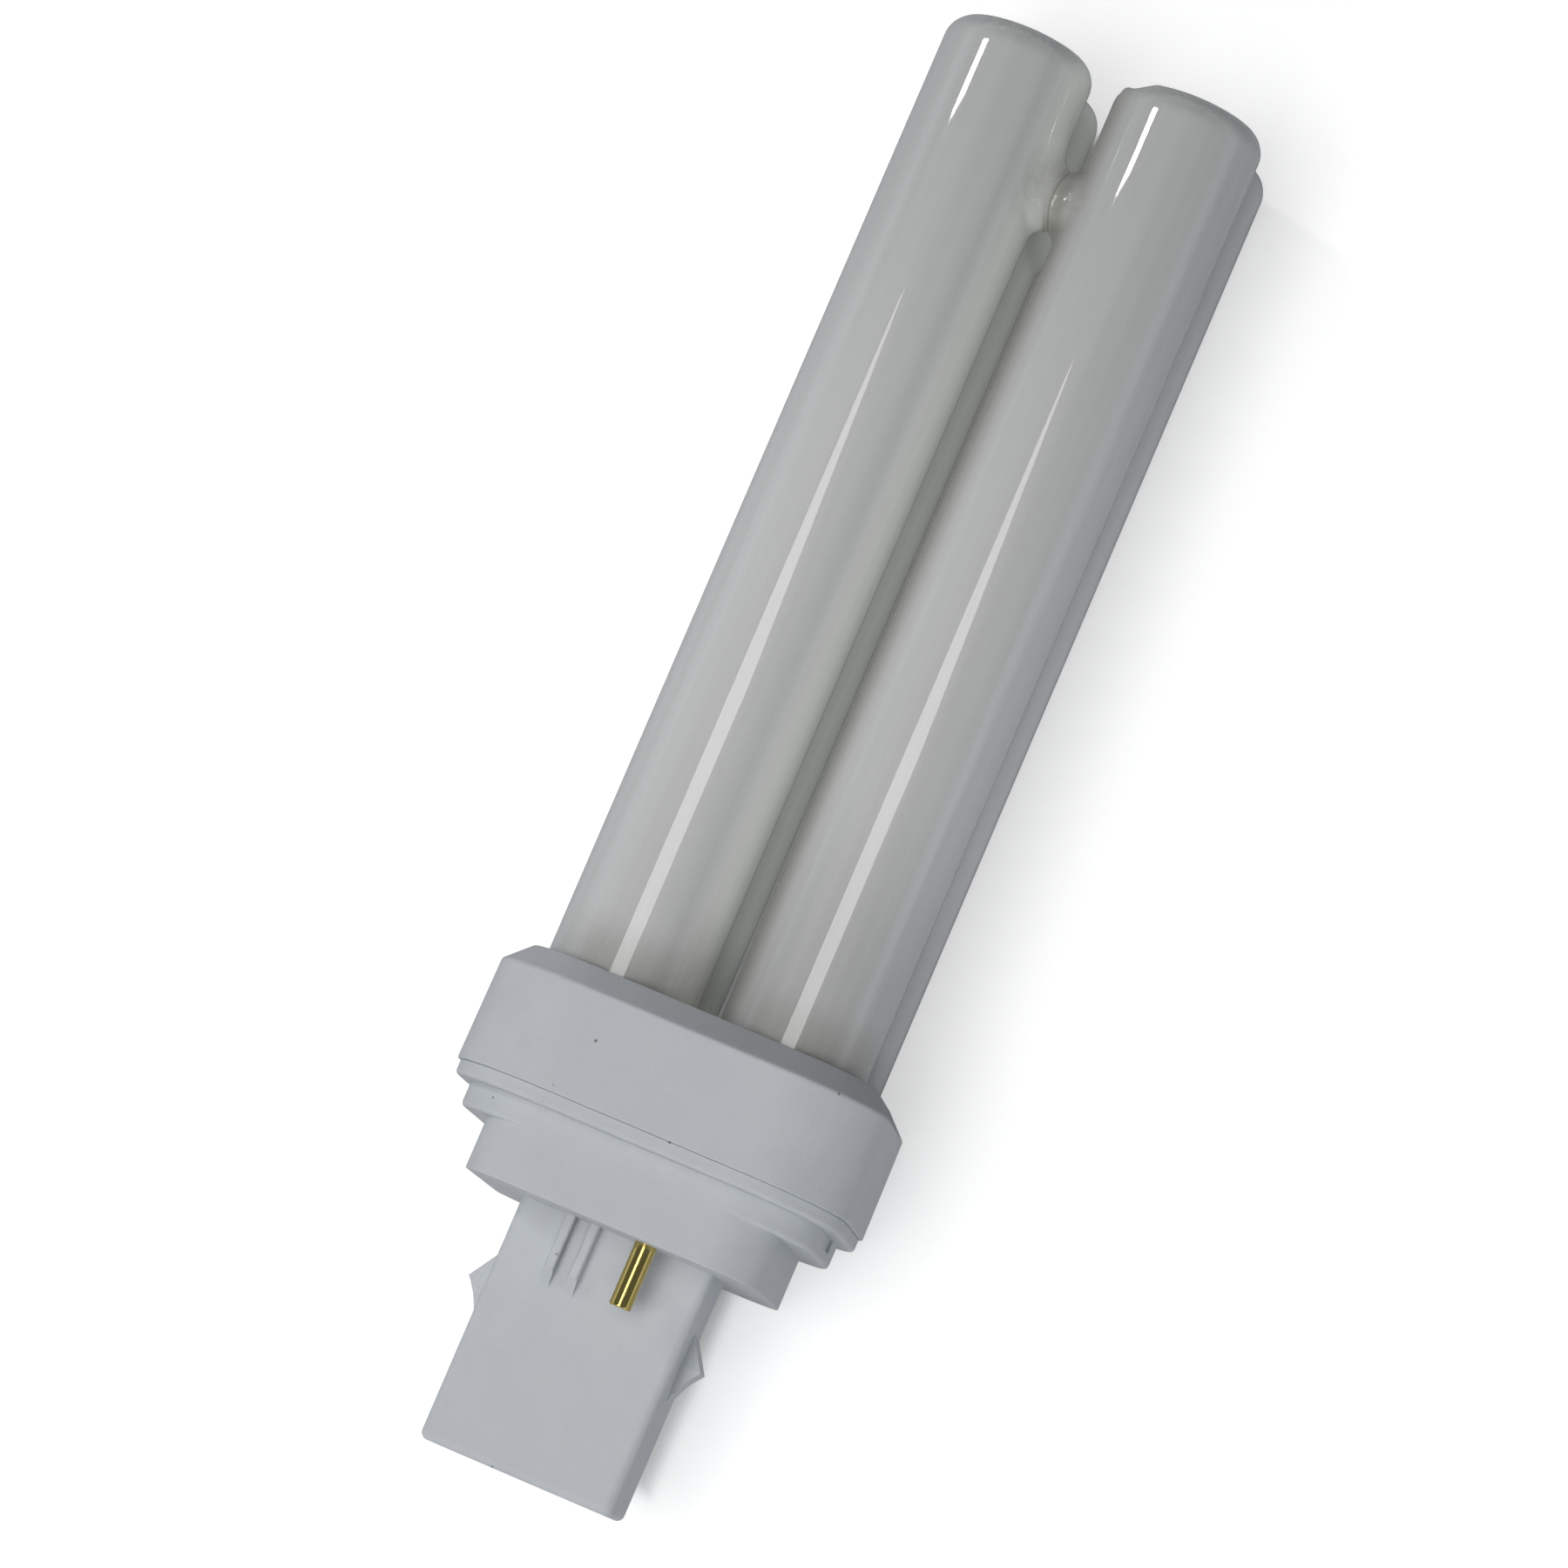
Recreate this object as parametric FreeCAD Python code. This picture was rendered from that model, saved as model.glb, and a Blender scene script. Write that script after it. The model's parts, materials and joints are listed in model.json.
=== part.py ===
import FreeCAD, Part
import math
import os

# Quad tube compact fluorescent lamp with a stepped two pin cap.
# Everything is drawn standing: plug tip at z = 0, tube ends up, front towards -y.
# lay_down() turns the finished lamp to the way it comes to rest, on its back. All in mm.

# Glass
TUBE_D = 15.9              # straight legs
TUBE_GAP = 2.65            # between neighbouring legs, across and front to back
TUBE_TOP = 154.0
CROWN_R = 22.0             # shallow crown of the closed ends
CROWN_CORNER = 2.9         # arc that blends a crown into the wall
BRIDGE_D = 6.6             # glass neck that joins two legs
FLARE_SHARE = 0.415        # fillet at each end of a neck, as a share of the gap it crosses
TOP_BRIDGE_DROP = 15.05    # upper necks below the ends of the legs
LOW_BRIDGE_RISE = 8.1      # lower neck above the roof of the cap
GLASS_IN_CAP = 10.4        # closed ends of the legs below the roof
SEAL_WIDTH = 8.4           # pinched seal under each end leg
SEAL_THICK = 3.2
SEAL_LENGTH = 6.9
SEAL_WIRE_OFFSET = 1.6     # from the leg's axis to each wire

# Outlines of the cap's levels, each drawn in from the one above it
COLLAR_MARGIN = 3.925      # collar beyond the glass
COLLAR_CORNER = 10.5
RIM_INSET = 0.35
STEP_SIDE_INSET = 1.7
STEP_FRONT_INSET = 2.1
STEP_CORNER = 9.0
BLOCK_SIDE_INSET = 3.3
BLOCK_CORNER = 6.0
POST = (10.4, 6.7, 1.0)    # half width, half depth and corner radius

# Heights of the levels, from the plug tip up
POST_LENGTH = 26.1
BLOCK_HEIGHT = 5.6
STEP_HEIGHT = 2.65
RIM_HEIGHT = 1.55
COLLAR_HEIGHT = 10.85
SHOULDER_HEIGHT = 2.4
SHOULDER_INSET = 2.6
COLLAR_DRAFT = 0.15

# Walls and edges
MERGE = 0.3                # how far features of one moulding run into each other
CLEAR = 1.0                # how far a cutting block stands out of what it cuts
MIN_CORNER_R = 0.3         # least corner radius of an outline that is drawn in
WALL = 1.6
ROOF = 1.8
FLOOR = 1.8
POST_WALL = 1.5
EDGE_R = 0.5
SMALL_EDGE_R = 0.25
BLOCK_EDGE_R = 0.15        # edge of the seating face
POST_TIP_R = 0.8
JOINT_R = 0.15             # upper edge of the rim, leaves a fine groove under the collar
COLLAR_EDGE_R = 0.12       # lower edge of the collar, over that groove
SPIGOT_WALL = 1.4
SPIGOT_HEIGHT = 5.35
SPIGOT_GAP = 0.1           # spigot to the inside of the collar
TUBE_HOLE_GAP = 0.15       # leg to the edge of its hole in the roof
SNAP_HALF_LENGTH = 4.0     # snap pocket under the rim, one each side
SNAP_HEIGHT = 1.4
SNAP_DEPTH = 0.35

# Latch wedge on each side of the post, heights measured down from the seating face
WEDGE_TOP = 5.95
WEDGE_PEAK = 9.35
WEDGE_LOW = 13.25
WEDGE_REACH = 2.15
WEDGE_HOLLOW = 0.25        # how far the lower slope is hollowed below a straight one
WEDGE_FRONT_Y = -0.8
WEDGE_BACK_Y = 3.7
WEDGE_KEEL = 0.45

# Guide ribs on the front and back of the post
RIB_CENTRES = (-4.85, -2.25)
RIB_WIDTH = 1.05
RIB_RISE = 1.6
RIB_CREST_R = 0.3
RIB_LENGTH = 7.5
RIB_RUNOUT = 1.8           # height over which its lower end slopes back to the post

# Contact pins
PIN_D = 2.3
PIN_LENGTH = 6.75          # out of the seating face
PIN_X = 3.63
PIN_Y = 11.6
PIN_TIP_R = 0.2
PIN_TIP_WALL = 1.4         # solid metal left at the tip
PIN_SHANK_D = 2.7          # pressed into the floor
PIN_HEAD_D = 4.0
PIN_HEAD = 0.6

# Cement, wires, starter and capacitor
CEMENT_THICK = 0.7
CEMENT_HEIGHT = 3.2
WIRE_D = 0.6
SEAL_WIRE_DROP = 1.4       # straight run of a pin lead out of its seal
LEAD_SPACING = 1.2         # starter leads below the pin leads
BOTTLE_D = 8.8
BOTTLE_HEIGHT = 17.0
BOTTLE_CORNER = 1.2
BOTTLE_GAP = 0.3           # bottle to the side wall of the post
BOTTLE_WIRE_Y = 1.5
BOTTLE_WIRE_LENGTH = 6.0
JOIN_RISE = 2.0            # bend of a capacitor wire above the bottle
JOIN_LENGTH = 3.0          # how far two wires lie side by side
CAPACITOR_THICK = 4.2
CAPACITOR_HEIGHT = 9.0
CAPACITOR_BOTTLE_GAP = 1.2
CAPACITOR_WALL_GAP = 1.0
CAPACITOR_WIRE_Y = 1.2
CRADLE_THICK = 1.0
CRADLE_HEIGHT = 7.0
CRADLE_GAP = 0.1

# Glass that follows from these
TUBE_R = TUBE_D / 2
LEG = (TUBE_D + TUBE_GAP) / 2
CROWN_LIFT = math.sqrt((CROWN_R - CROWN_CORNER) ** 2 - (TUBE_R - CROWN_CORNER) ** 2)
CROWN_HEIGHT = CROWN_R - CROWN_LIFT
BRIDGE_FLARE = TUBE_GAP * FLARE_SHARE
LEG_PLACES = {
    "front_left": (-LEG, -LEG),
    "front_right": (LEG, -LEG),
    "back_left": (-LEG, LEG),
    "back_right": (LEG, LEG),
}
END_LEGS = ("front_right", "back_right")

# Outlines that follow: half width, half depth and corner radius
COLLAR_HALF = LEG + TUBE_R + COLLAR_MARGIN
COLLAR = (COLLAR_HALF, COLLAR_HALF, COLLAR_CORNER)
RIM = (COLLAR[0] - RIM_INSET, COLLAR[1] - RIM_INSET, COLLAR_CORNER)
STEP = (RIM[0] - STEP_SIDE_INSET, RIM[1] - STEP_FRONT_INSET, STEP_CORNER)
BLOCK = (STEP[0] - BLOCK_SIDE_INSET, STEP[1], BLOCK_CORNER)

# Heights that follow, above the plug tip
BLOCK_Z = POST_LENGTH
STEP_Z = BLOCK_Z + BLOCK_HEIGHT
RIM_Z = STEP_Z + STEP_HEIGHT
COLLAR_Z = RIM_Z + RIM_HEIGHT
SHOULDER_Z = COLLAR_Z + COLLAR_HEIGHT
ROOF_Z = SHOULDER_Z + SHOULDER_HEIGHT
ROOF_UNDER_Z = ROOF_Z - ROOF
SPIGOT_TOP = COLLAR_Z + SPIGOT_HEIGHT
POST_FLOOR_Z = POST_WALL
BASE_FLOOR_Z = BLOCK_Z + FLOOR
WEDGE_TOP_Z = BLOCK_Z - WEDGE_TOP
WEDGE_PEAK_Z = BLOCK_Z - WEDGE_PEAK
WEDGE_LOW_Z = BLOCK_Z - WEDGE_LOW
RIB_END_Z = BLOCK_Z - RIB_LENGTH
PIN_TIP_Z = BLOCK_Z - PIN_LENGTH
PIN_BORE_Z = PIN_TIP_Z + PIN_TIP_WALL
TOP_BRIDGE_Z = TUBE_TOP - TOP_BRIDGE_DROP
LOW_BRIDGE_Z = ROOF_Z + LOW_BRIDGE_RISE
TUBE_END = ROOF_Z - GLASS_IN_CAP
SEAL_END = TUBE_END - SEAL_LENGTH
PIN_WIRE_Z = SEAL_END - SEAL_WIRE_DROP
START_WIRE_Z = PIN_WIRE_Z - LEAD_SPACING
BOTTLE_TOP_Z = POST_FLOOR_Z + BOTTLE_HEIGHT
BOTTLE_WIRE_TOP = BOTTLE_TOP_Z + BOTTLE_WIRE_LENGTH
CAPACITOR_WIRE_Z = BOTTLE_TOP_Z + JOIN_RISE

# The bottle stands against the left wall of the post and the capacitor fills what is left
WIRE_R = WIRE_D / 2
POST_INSIDE = POST[0] - POST_WALL
BOTTLE_X = BOTTLE_GAP + BOTTLE_D / 2 - POST_INSIDE
CAPACITOR_LEFT = BOTTLE_X + BOTTLE_D / 2 + CAPACITOR_BOTTLE_GAP
CAPACITOR_RIGHT = POST_INSIDE - CAPACITOR_WALL_GAP
CAPACITOR_X = (CAPACITOR_LEFT + CAPACITOR_RIGHT) / 2

SEAM_TURN = 45             # degrees, turns the seam line of a leg's surface clear of the necks
SAME_HEIGHT = 1e-3         # edges within this of a height lie at it

V = FreeCAD.Vector


def outline(level, z, inset=0.0):
    """Closed wire of a rounded rectangle at height z, drawn in by inset."""
    half_w = level[0] - inset
    half_d = level[1] - inset
    radius = max(level[2] - inset, MIN_CORNER_R)
    diagonal = radius * math.sqrt(0.5)
    edges = []
    for sx, sy in ((1, 1), (-1, 1), (-1, -1), (1, -1)):
        cx = sx * (half_w - radius)
        cy = sy * (half_d - radius)
        on_side = V(cx + sx * radius, cy, z)
        on_end = V(cx, cy + sy * radius, z)
        middle = V(cx + sx * diagonal, cy + sy * diagonal, z)
        first, last = (on_side, on_end) if sx * sy > 0 else (on_end, on_side)
        if edges:
            edges.append(Part.makeLine(edges[-1].Vertexes[-1].Point, first))
        edges.append(Part.Arc(first, middle, last).toShape())
    edges.append(Part.makeLine(edges[-1].Vertexes[-1].Point, edges[0].Vertexes[0].Point))
    return Part.Wire(edges)


def block(level, z_low, z_high, inset=0.0):
    """Upright block with the level's rounded outline."""
    face = Part.Face(outline(level, z_low, inset))
    return face.extrude(V(0, 0, z_high - z_low))


def tapered(level, z_low, z_high, inset_low, inset_high):
    """Block whose outline draws in from one inset to another."""
    wires = [outline(level, z_low, inset_low), outline(level, z_high, inset_high)]
    return Part.makeLoft(wires, True, True)


def box(x_low, x_high, y_low, y_high, z_low, z_high):
    """Plain box from its limits."""
    return Part.makeBox(x_high - x_low, y_high - y_low, z_high - z_low, V(x_low, y_low, z_low))


def rod(radius, x, y, z_low, z_high):
    """Upright cylinder."""
    return Part.makeCylinder(radius, z_high - z_low, V(x, y, z_low))


def round_edges_at(solid, z, radius):
    """Round every edge of the solid that lies flat at height z."""
    edges = []
    for edge in solid.Edges:
        limits = edge.BoundBox
        if max(abs(limits.ZMin - z), abs(limits.ZMax - z)) < SAME_HEIGHT:
            edges.append(edge)
    return solid.makeFillet(radius, edges)


def half_turn(solid):
    """Copy of the solid on the other side of the lamp's axis."""
    turned = solid.copy()
    turned.rotate(V(0, 0, 0), V(0, 0, 1), 180)
    return turned


def revolved(edges):
    """Solid of revolution about z from a closed outline in the x-z plane."""
    ordered = Part.Wire(Part.__sortEdges__(edges))
    return Part.Face(ordered).revolve(V(0, 0, 0), V(0, 0, 1), 360)


def arc_through(first, middle, last):
    return Part.Arc(first, middle, last).toShape()


def leg():
    """One straight leg, each end a shallow crown blended into the wall by a corner arc."""
    corner_x = TUBE_R - CROWN_CORNER
    meet = math.atan2(CROWN_LIFT, corner_x)
    edges = []
    ends = []
    for sign, apex in ((1, TUBE_TOP), (-1, TUBE_END)):

        def crown(angle):
            return V(CROWN_R * math.cos(angle), 0, apex + sign * CROWN_R * (math.sin(angle) - 1))

        def corner(angle):
            up = CROWN_CORNER * math.sin(angle) - CROWN_HEIGHT
            return V(corner_x + CROWN_CORNER * math.cos(angle), 0, apex + sign * up)

        edges.append(arc_through(crown(math.pi / 2), crown((meet + math.pi / 2) / 2), crown(meet)))
        edges.append(arc_through(corner(meet), corner(meet / 2), corner(0)))
        ends.append((crown(math.pi / 2), corner(0)))
    edges.append(Part.makeLine(ends[0][0], ends[1][0]))
    edges.append(Part.makeLine(ends[0][1], ends[1][1]))
    return revolved(edges)


def neck(first, second, z):
    """Glass neck between the axes of two legs."""
    start = V(first[0], first[1], z)
    along = V(second[0], second[1], z) - start
    return Part.makeCylinder(BRIDGE_D / 2, along.Length, start, along)


def neck_edges(glass):
    """Edges where the necks run into the legs."""
    found = []
    for edge in glass.Edges:
        limits = edge.BoundBox
        for z in (TOP_BRIDGE_Z, LOW_BRIDGE_Z):
            inside = z - BRIDGE_D < limits.ZMin and limits.ZMax < z + BRIDGE_D
            if inside and limits.ZLength > BRIDGE_D / 3:
                found.append(edge)
    return found


def seal(place):
    """Flat pinched seal under an end leg."""
    x, y = place
    return box(x - SEAL_WIDTH / 2, x + SEAL_WIDTH / 2, y - SEAL_THICK / 2, y + SEAL_THICK / 2,
               SEAL_END, TUBE_END + CROWN_CORNER)


def discharge_tube():
    """The whole glass vessel: four legs, three necks and two seals."""
    upright = leg()
    upright.rotate(V(0, 0, 0), V(0, 0, 1), SEAM_TURN)
    solids = []
    for x, y in LEG_PLACES.values():
        one = upright.copy()
        one.translate(V(x, y, 0))
        solids.append(one)
    at = LEG_PLACES
    solids.append(neck(at["front_left"], at["front_right"], TOP_BRIDGE_Z))
    solids.append(neck(at["back_left"], at["back_right"], TOP_BRIDGE_Z))
    solids.append(neck(at["front_left"], at["back_left"], LOW_BRIDGE_Z))
    glass = solids[0].multiFuse(solids[1:]).removeSplitter()
    glass = glass.makeFillet(BRIDGE_FLARE, neck_edges(glass))
    return glass.multiFuse([seal(at[name]) for name in END_LEGS])


def collar_shell():
    """Upper moulding: walls, sloping shoulder and a roof with four holes."""
    outer = tapered(COLLAR, COLLAR_Z, SHOULDER_Z, 0, COLLAR_DRAFT)
    outer = outer.fuse(tapered(COLLAR, SHOULDER_Z, ROOF_Z, COLLAR_DRAFT, SHOULDER_INSET))
    outer = outer.removeSplitter()
    outer = round_edges_at(outer, SHOULDER_Z, EDGE_R)
    outer = round_edges_at(outer, ROOF_Z, SMALL_EDGE_R)
    outer = round_edges_at(outer, COLLAR_Z, COLLAR_EDGE_R)
    hollow = block(COLLAR, COLLAR_Z, ROOF_UNDER_Z - WALL, WALL)
    hollow = hollow.fuse(tapered(COLLAR, ROOF_UNDER_Z - WALL, ROOF_UNDER_Z, WALL, 2 * WALL))
    holes = [rod(TUBE_R + TUBE_HOLE_GAP, x, y, COLLAR_Z, ROOF_Z + CLEAR) for x, y in LEG_PLACES.values()]
    return outer.cut(hollow).cut(holes[0].multiFuse(holes[1:]))


def wedge():
    """Latch wedge on the right side of the post, its front end a shallow keel."""
    side = POST[0]
    root = side - MERGE
    low = V(side, 0, WEDGE_LOW_Z)
    peak = V(side + WEDGE_REACH, 0, WEDGE_PEAK_Z)
    slope = (peak - low).normalize()
    hollow = (low + peak) * 0.5 + V(-slope.z, 0, slope.x) * WEDGE_HOLLOW
    edges = [
        Part.makeLine(V(root, 0, WEDGE_LOW_Z), low),
        arc_through(low, hollow, peak),
        Part.makeLine(peak, V(side, 0, WEDGE_TOP_Z)),
        Part.makeLine(V(side, 0, WEDGE_TOP_Z), V(root, 0, WEDGE_TOP_Z)),
        Part.makeLine(V(root, 0, WEDGE_TOP_Z), V(root, 0, WEDGE_LOW_Z)),
    ]
    ramp = Part.Face(Part.Wire(edges)).extrude(V(0, WEDGE_BACK_Y - WEDGE_FRONT_Y + WEDGE_KEEL, 0))
    ramp.translate(V(0, WEDGE_FRONT_Y - WEDGE_KEEL, 0))
    keel = [
        V(root, WEDGE_FRONT_Y, WEDGE_TOP_Z),
        V(root, WEDGE_FRONT_Y - WEDGE_KEEL, WEDGE_PEAK_Z),
        V(root, WEDGE_FRONT_Y, WEDGE_LOW_Z),
        V(root, WEDGE_BACK_Y, WEDGE_LOW_Z),
        V(root, WEDGE_BACK_Y, WEDGE_TOP_Z),
    ]
    ends = Part.Face(Part.makePolygon(keel + keel[:1])).extrude(V(WEDGE_REACH + CLEAR, 0, 0))
    return ramp.common(ends)


def rib(x):
    """Guide rib on the front of the post, its crest rounded, its lower end run out to the face."""
    half = RIB_WIDTH / 2
    root = -POST[1] + MERGE
    crest = -POST[1] - RIB_RISE
    low, high = RIB_END_Z - CLEAR, BLOCK_Z + MERGE
    bar = box(x - half, x + half, crest, root, low, high)
    crest_edges = [edge for edge in bar.Edges if edge.BoundBox.YMax < crest + SAME_HEIGHT
                   and edge.BoundBox.ZLength > RIB_LENGTH]
    bar = bar.makeFillet(RIB_CREST_R, crest_edges)
    side = [
        V(x - CLEAR, root, RIB_END_Z),
        V(x - CLEAR, -POST[1], RIB_END_Z),
        V(x - CLEAR, crest, RIB_END_Z + RIB_RUNOUT),
        V(x - CLEAR, crest - CLEAR, RIB_END_Z + RIB_RUNOUT),
        V(x - CLEAR, crest - CLEAR, high),
        V(x - CLEAR, root, high),
    ]
    run_out = Part.Face(Part.makePolygon(side + side[:1])).extrude(V(2 * CLEAR, 0, 0))
    return bar.common(run_out)


def post():
    """Outside of the post with its wedges and ribs."""
    body = round_edges_at(block(POST, 0, BLOCK_Z + MERGE), 0, POST_TIP_R)
    added = [wedge()]
    added += [rib(x) for x in RIB_CENTRES]
    added += [half_turn(one) for one in added]
    return body.multiFuse(added)


def cradle_ribs():
    """Inner ribs that hold the starter and the capacitor upright in the post."""
    inside = POST[1] - POST_WALL
    held = ((BOTTLE_X, BOTTLE_D / 2), (CAPACITOR_X, CAPACITOR_THICK / 2))
    ribs = []
    for x, reach in held:
        for side in (-1, 1):
            near = side * (reach + CRADLE_GAP)
            far = side * (inside + MERGE)
            ribs.append(box(x - CRADLE_THICK / 2, x + CRADLE_THICK / 2, min(near, far),
                            max(near, far), POST_FLOOR_Z - MERGE, POST_FLOOR_Z + CRADLE_HEIGHT))
    return ribs


def snap_pocket():
    """Pocket under the rim on the right side."""
    side = STEP[0]
    return box(side - SNAP_DEPTH, side + CLEAR, -SNAP_HALF_LENGTH, SNAP_HALF_LENGTH,
               RIM_Z - SNAP_HEIGHT, RIM_Z)


def base_shell():
    """Lower moulding: spigot, rim, steps and hollow post."""
    rim = round_edges_at(block(RIM, RIM_Z, COLLAR_Z), RIM_Z, EDGE_R)
    rim = round_edges_at(rim, COLLAR_Z, JOINT_R)
    step = round_edges_at(block(STEP, STEP_Z, COLLAR_Z), STEP_Z, EDGE_R)
    step = step.cut(snap_pocket()).cut(half_turn(snap_pocket()))
    lower = round_edges_at(block(BLOCK, BLOCK_Z, COLLAR_Z), BLOCK_Z, BLOCK_EDGE_R)
    spigot = block(COLLAR, COLLAR_Z - MERGE, SPIGOT_TOP, WALL + SPIGOT_GAP)
    outside = rim.multiFuse([step, lower, spigot, post()])
    hollow = [
        block(BLOCK, BASE_FLOOR_Z, COLLAR_Z, WALL),
        block(STEP, STEP_Z + FLOOR, COLLAR_Z, WALL),
        block(COLLAR, COLLAR_Z - MERGE, SPIGOT_TOP + CLEAR, WALL + SPIGOT_GAP + SPIGOT_WALL),
        block(POST, POST_FLOOR_Z, BASE_FLOOR_Z + CLEAR, POST_WALL),
        rod(PIN_SHANK_D / 2, PIN_X, -PIN_Y, BLOCK_Z - CLEAR, BASE_FLOOR_Z + CLEAR),
        rod(PIN_SHANK_D / 2, -PIN_X, PIN_Y, BLOCK_Z - CLEAR, BASE_FLOOR_Z + CLEAR),
    ]
    shell = outside.cut(hollow[0].multiFuse(hollow[1:]))
    return shell.multiFuse(cradle_ribs()).removeSplitter()


def contact_pin_front():
    """Riveted pin: a thicker shank in the floor, a head on it and a blind bore for the wire."""
    pin = round_edges_at(rod(PIN_D / 2, PIN_X, -PIN_Y, PIN_TIP_Z, BLOCK_Z), PIN_TIP_Z, PIN_TIP_R)
    shank = rod(PIN_SHANK_D / 2, PIN_X, -PIN_Y, BLOCK_Z, BASE_FLOOR_Z)
    head = rod(PIN_HEAD_D / 2, PIN_X, -PIN_Y, BASE_FLOOR_Z, BASE_FLOOR_Z + PIN_HEAD)
    bore = rod(WIRE_R, PIN_X, -PIN_Y, PIN_BORE_Z, BASE_FLOOR_Z + CLEAR)
    return pin.multiFuse([shank, head]).cut(bore)


def cement(place):
    """Ring of cement round one leg, under the roof."""
    x, y = place
    ring = rod(TUBE_R + CEMENT_THICK, x, y, ROOF_UNDER_Z - CEMENT_HEIGHT, ROOF_UNDER_Z)
    return ring.cut(rod(TUBE_R, x, y, ROOF_UNDER_Z - CEMENT_HEIGHT - CLEAR, ROOF_UNDER_Z + CLEAR))


def wire(points):
    """Round wire along straight runs with mitred bends."""
    path = Part.makePolygon(points)
    along = points[1] - points[0]
    circle = Part.makeCircle(WIRE_R, points[0], along)
    sweep = Part.BRepOffsetAPI.MakePipeShell(path)
    sweep.setTransitionMode(1)
    sweep.add(Part.Wire(circle))
    sweep.build()
    sweep.makeSolid()
    return sweep.shape()


def pin_lead(seal_y, pin_x, pin_y):
    """Wire from a seal down into the bore of a contact pin."""
    x = LEG - SEAL_WIRE_OFFSET
    return wire([
        V(x, seal_y, SEAL_END),
        V(x, seal_y, PIN_WIRE_Z),
        V(pin_x, pin_y, PIN_WIRE_Z),
        V(pin_x, pin_y, PIN_BORE_Z),
    ])


def start_lead(side):
    """Wire from a seal to the starter's wire, which it lies against."""
    x = LEG + SEAL_WIRE_OFFSET
    y = side * (BOTTLE_WIRE_Y + WIRE_D)
    return wire([
        V(x, side * LEG, SEAL_END),
        V(x, side * LEG, START_WIRE_Z),
        V(BOTTLE_X, y, START_WIRE_Z),
        V(BOTTLE_X, y, BOTTLE_WIRE_TOP - JOIN_LENGTH),
    ])


def starter_bottle():
    """Sealed glow starter, standing on the floor of the post."""
    bottle = rod(BOTTLE_D / 2, BOTTLE_X, 0, POST_FLOOR_Z, BOTTLE_TOP_Z)
    return round_edges_at(bottle, BOTTLE_TOP_Z, BOTTLE_CORNER)


def starter_wire(side):
    """One of the starter's own two wires."""
    return rod(WIRE_R, BOTTLE_X, side * BOTTLE_WIRE_Y, BOTTLE_TOP_Z, BOTTLE_WIRE_TOP)


def capacitor():
    """Small block capacitor beside the starter."""
    top = POST_FLOOR_Z + CAPACITOR_HEIGHT
    body = box(CAPACITOR_LEFT, CAPACITOR_RIGHT, -CAPACITOR_THICK / 2, CAPACITOR_THICK / 2,
               POST_FLOOR_Z, top)
    return round_edges_at(body, top, EDGE_R)


def capacitor_wire(side):
    """Wire from the capacitor to the starter's wire, which it lies against."""
    x = BOTTLE_X + WIRE_D
    y = side * CAPACITOR_WIRE_Y
    y_end = side * BOTTLE_WIRE_Y
    return wire([
        V(CAPACITOR_X, y, POST_FLOOR_Z + CAPACITOR_HEIGHT),
        V(CAPACITOR_X, y, CAPACITOR_WIRE_Z),
        V(x, y_end, CAPACITOR_WIRE_Z),
        V(x, y_end, CAPACITOR_WIRE_Z + JOIN_LENGTH),
    ])


def standing_lamp():
    """Every piece of the lamp by name, standing on its plug."""
    pin = contact_pin_front()
    pieces = {
        "discharge_tube": discharge_tube(),
        "collar_shell": collar_shell(),
        "base_shell": base_shell(),
        "contact_pin_front": pin,
        "contact_pin_back": half_turn(pin),
        "pin_lead_front": pin_lead(-LEG, PIN_X, -PIN_Y),
        "pin_lead_back": pin_lead(LEG, -PIN_X, PIN_Y),
        "starter_bottle": starter_bottle(),
        "capacitor": capacitor(),
    }
    for name, place in LEG_PLACES.items():
        pieces["cement_" + name] = cement(place)
    for name, side in (("front", -1), ("back", 1)):
        pieces["start_lead_" + name] = start_lead(side)
        pieces["starter_wire_" + name] = starter_wire(side)
        pieces["capacitor_wire_" + name] = capacitor_wire(side)
    return pieces


def lay_down(pieces):
    """Turn the lamp onto its back: it rests on the collar's shoulder edge and two tube ends."""
    shoulder = math.atan2(SHOULDER_INSET - COLLAR_DRAFT, ROOF_Z - SHOULDER_Z)
    drop = COLLAR[1] - COLLAR_DRAFT - (LEG + TUBE_R)
    run = TUBE_TOP - CROWN_HEIGHT - SHOULDER_Z + EDGE_R * math.tan(shoulder / 2)
    tilt = math.degrees(math.atan(drop / run))
    for solid in pieces.values():
        solid.rotate(V(0, 0, 0), V(1, 0, 0), -90 - tilt)
    limits = Part.makeCompound(list(pieces.values())).optimalBoundingBox(False, False)
    shift = V(-limits.Center.x, -limits.Center.y, -limits.ZMin)
    for solid in pieces.values():
        solid.translate(shift)
    return pieces


def main():
    os.makedirs("parts", exist_ok=True)
    for name, piece in lay_down(standing_lamp()).items():
        solid = piece.Solids[0]
        solid.exportStep("parts/" + name + ".step")
        limits = solid.BoundBox
        print(name, "solids", len(piece.Solids), "valid", solid.isValid(), "size",
              round(limits.XLength, 2), round(limits.YLength, 2), round(limits.ZLength, 2))


main()
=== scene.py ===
"""Quad tube compact fluorescent lamp lying on its back on a white table, seen from above.

Lengths are in millimetres in the lamp's own standing frame (x to the right, y to the back,
z from the plug tip to the tube ends) until place() turns them into the frame's metres. The
table and the lights are in the frame's metres from the start.
"""
import json
import math

import bmesh
import bpy
import numpy as np
from mathutils import Matrix, Vector


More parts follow.
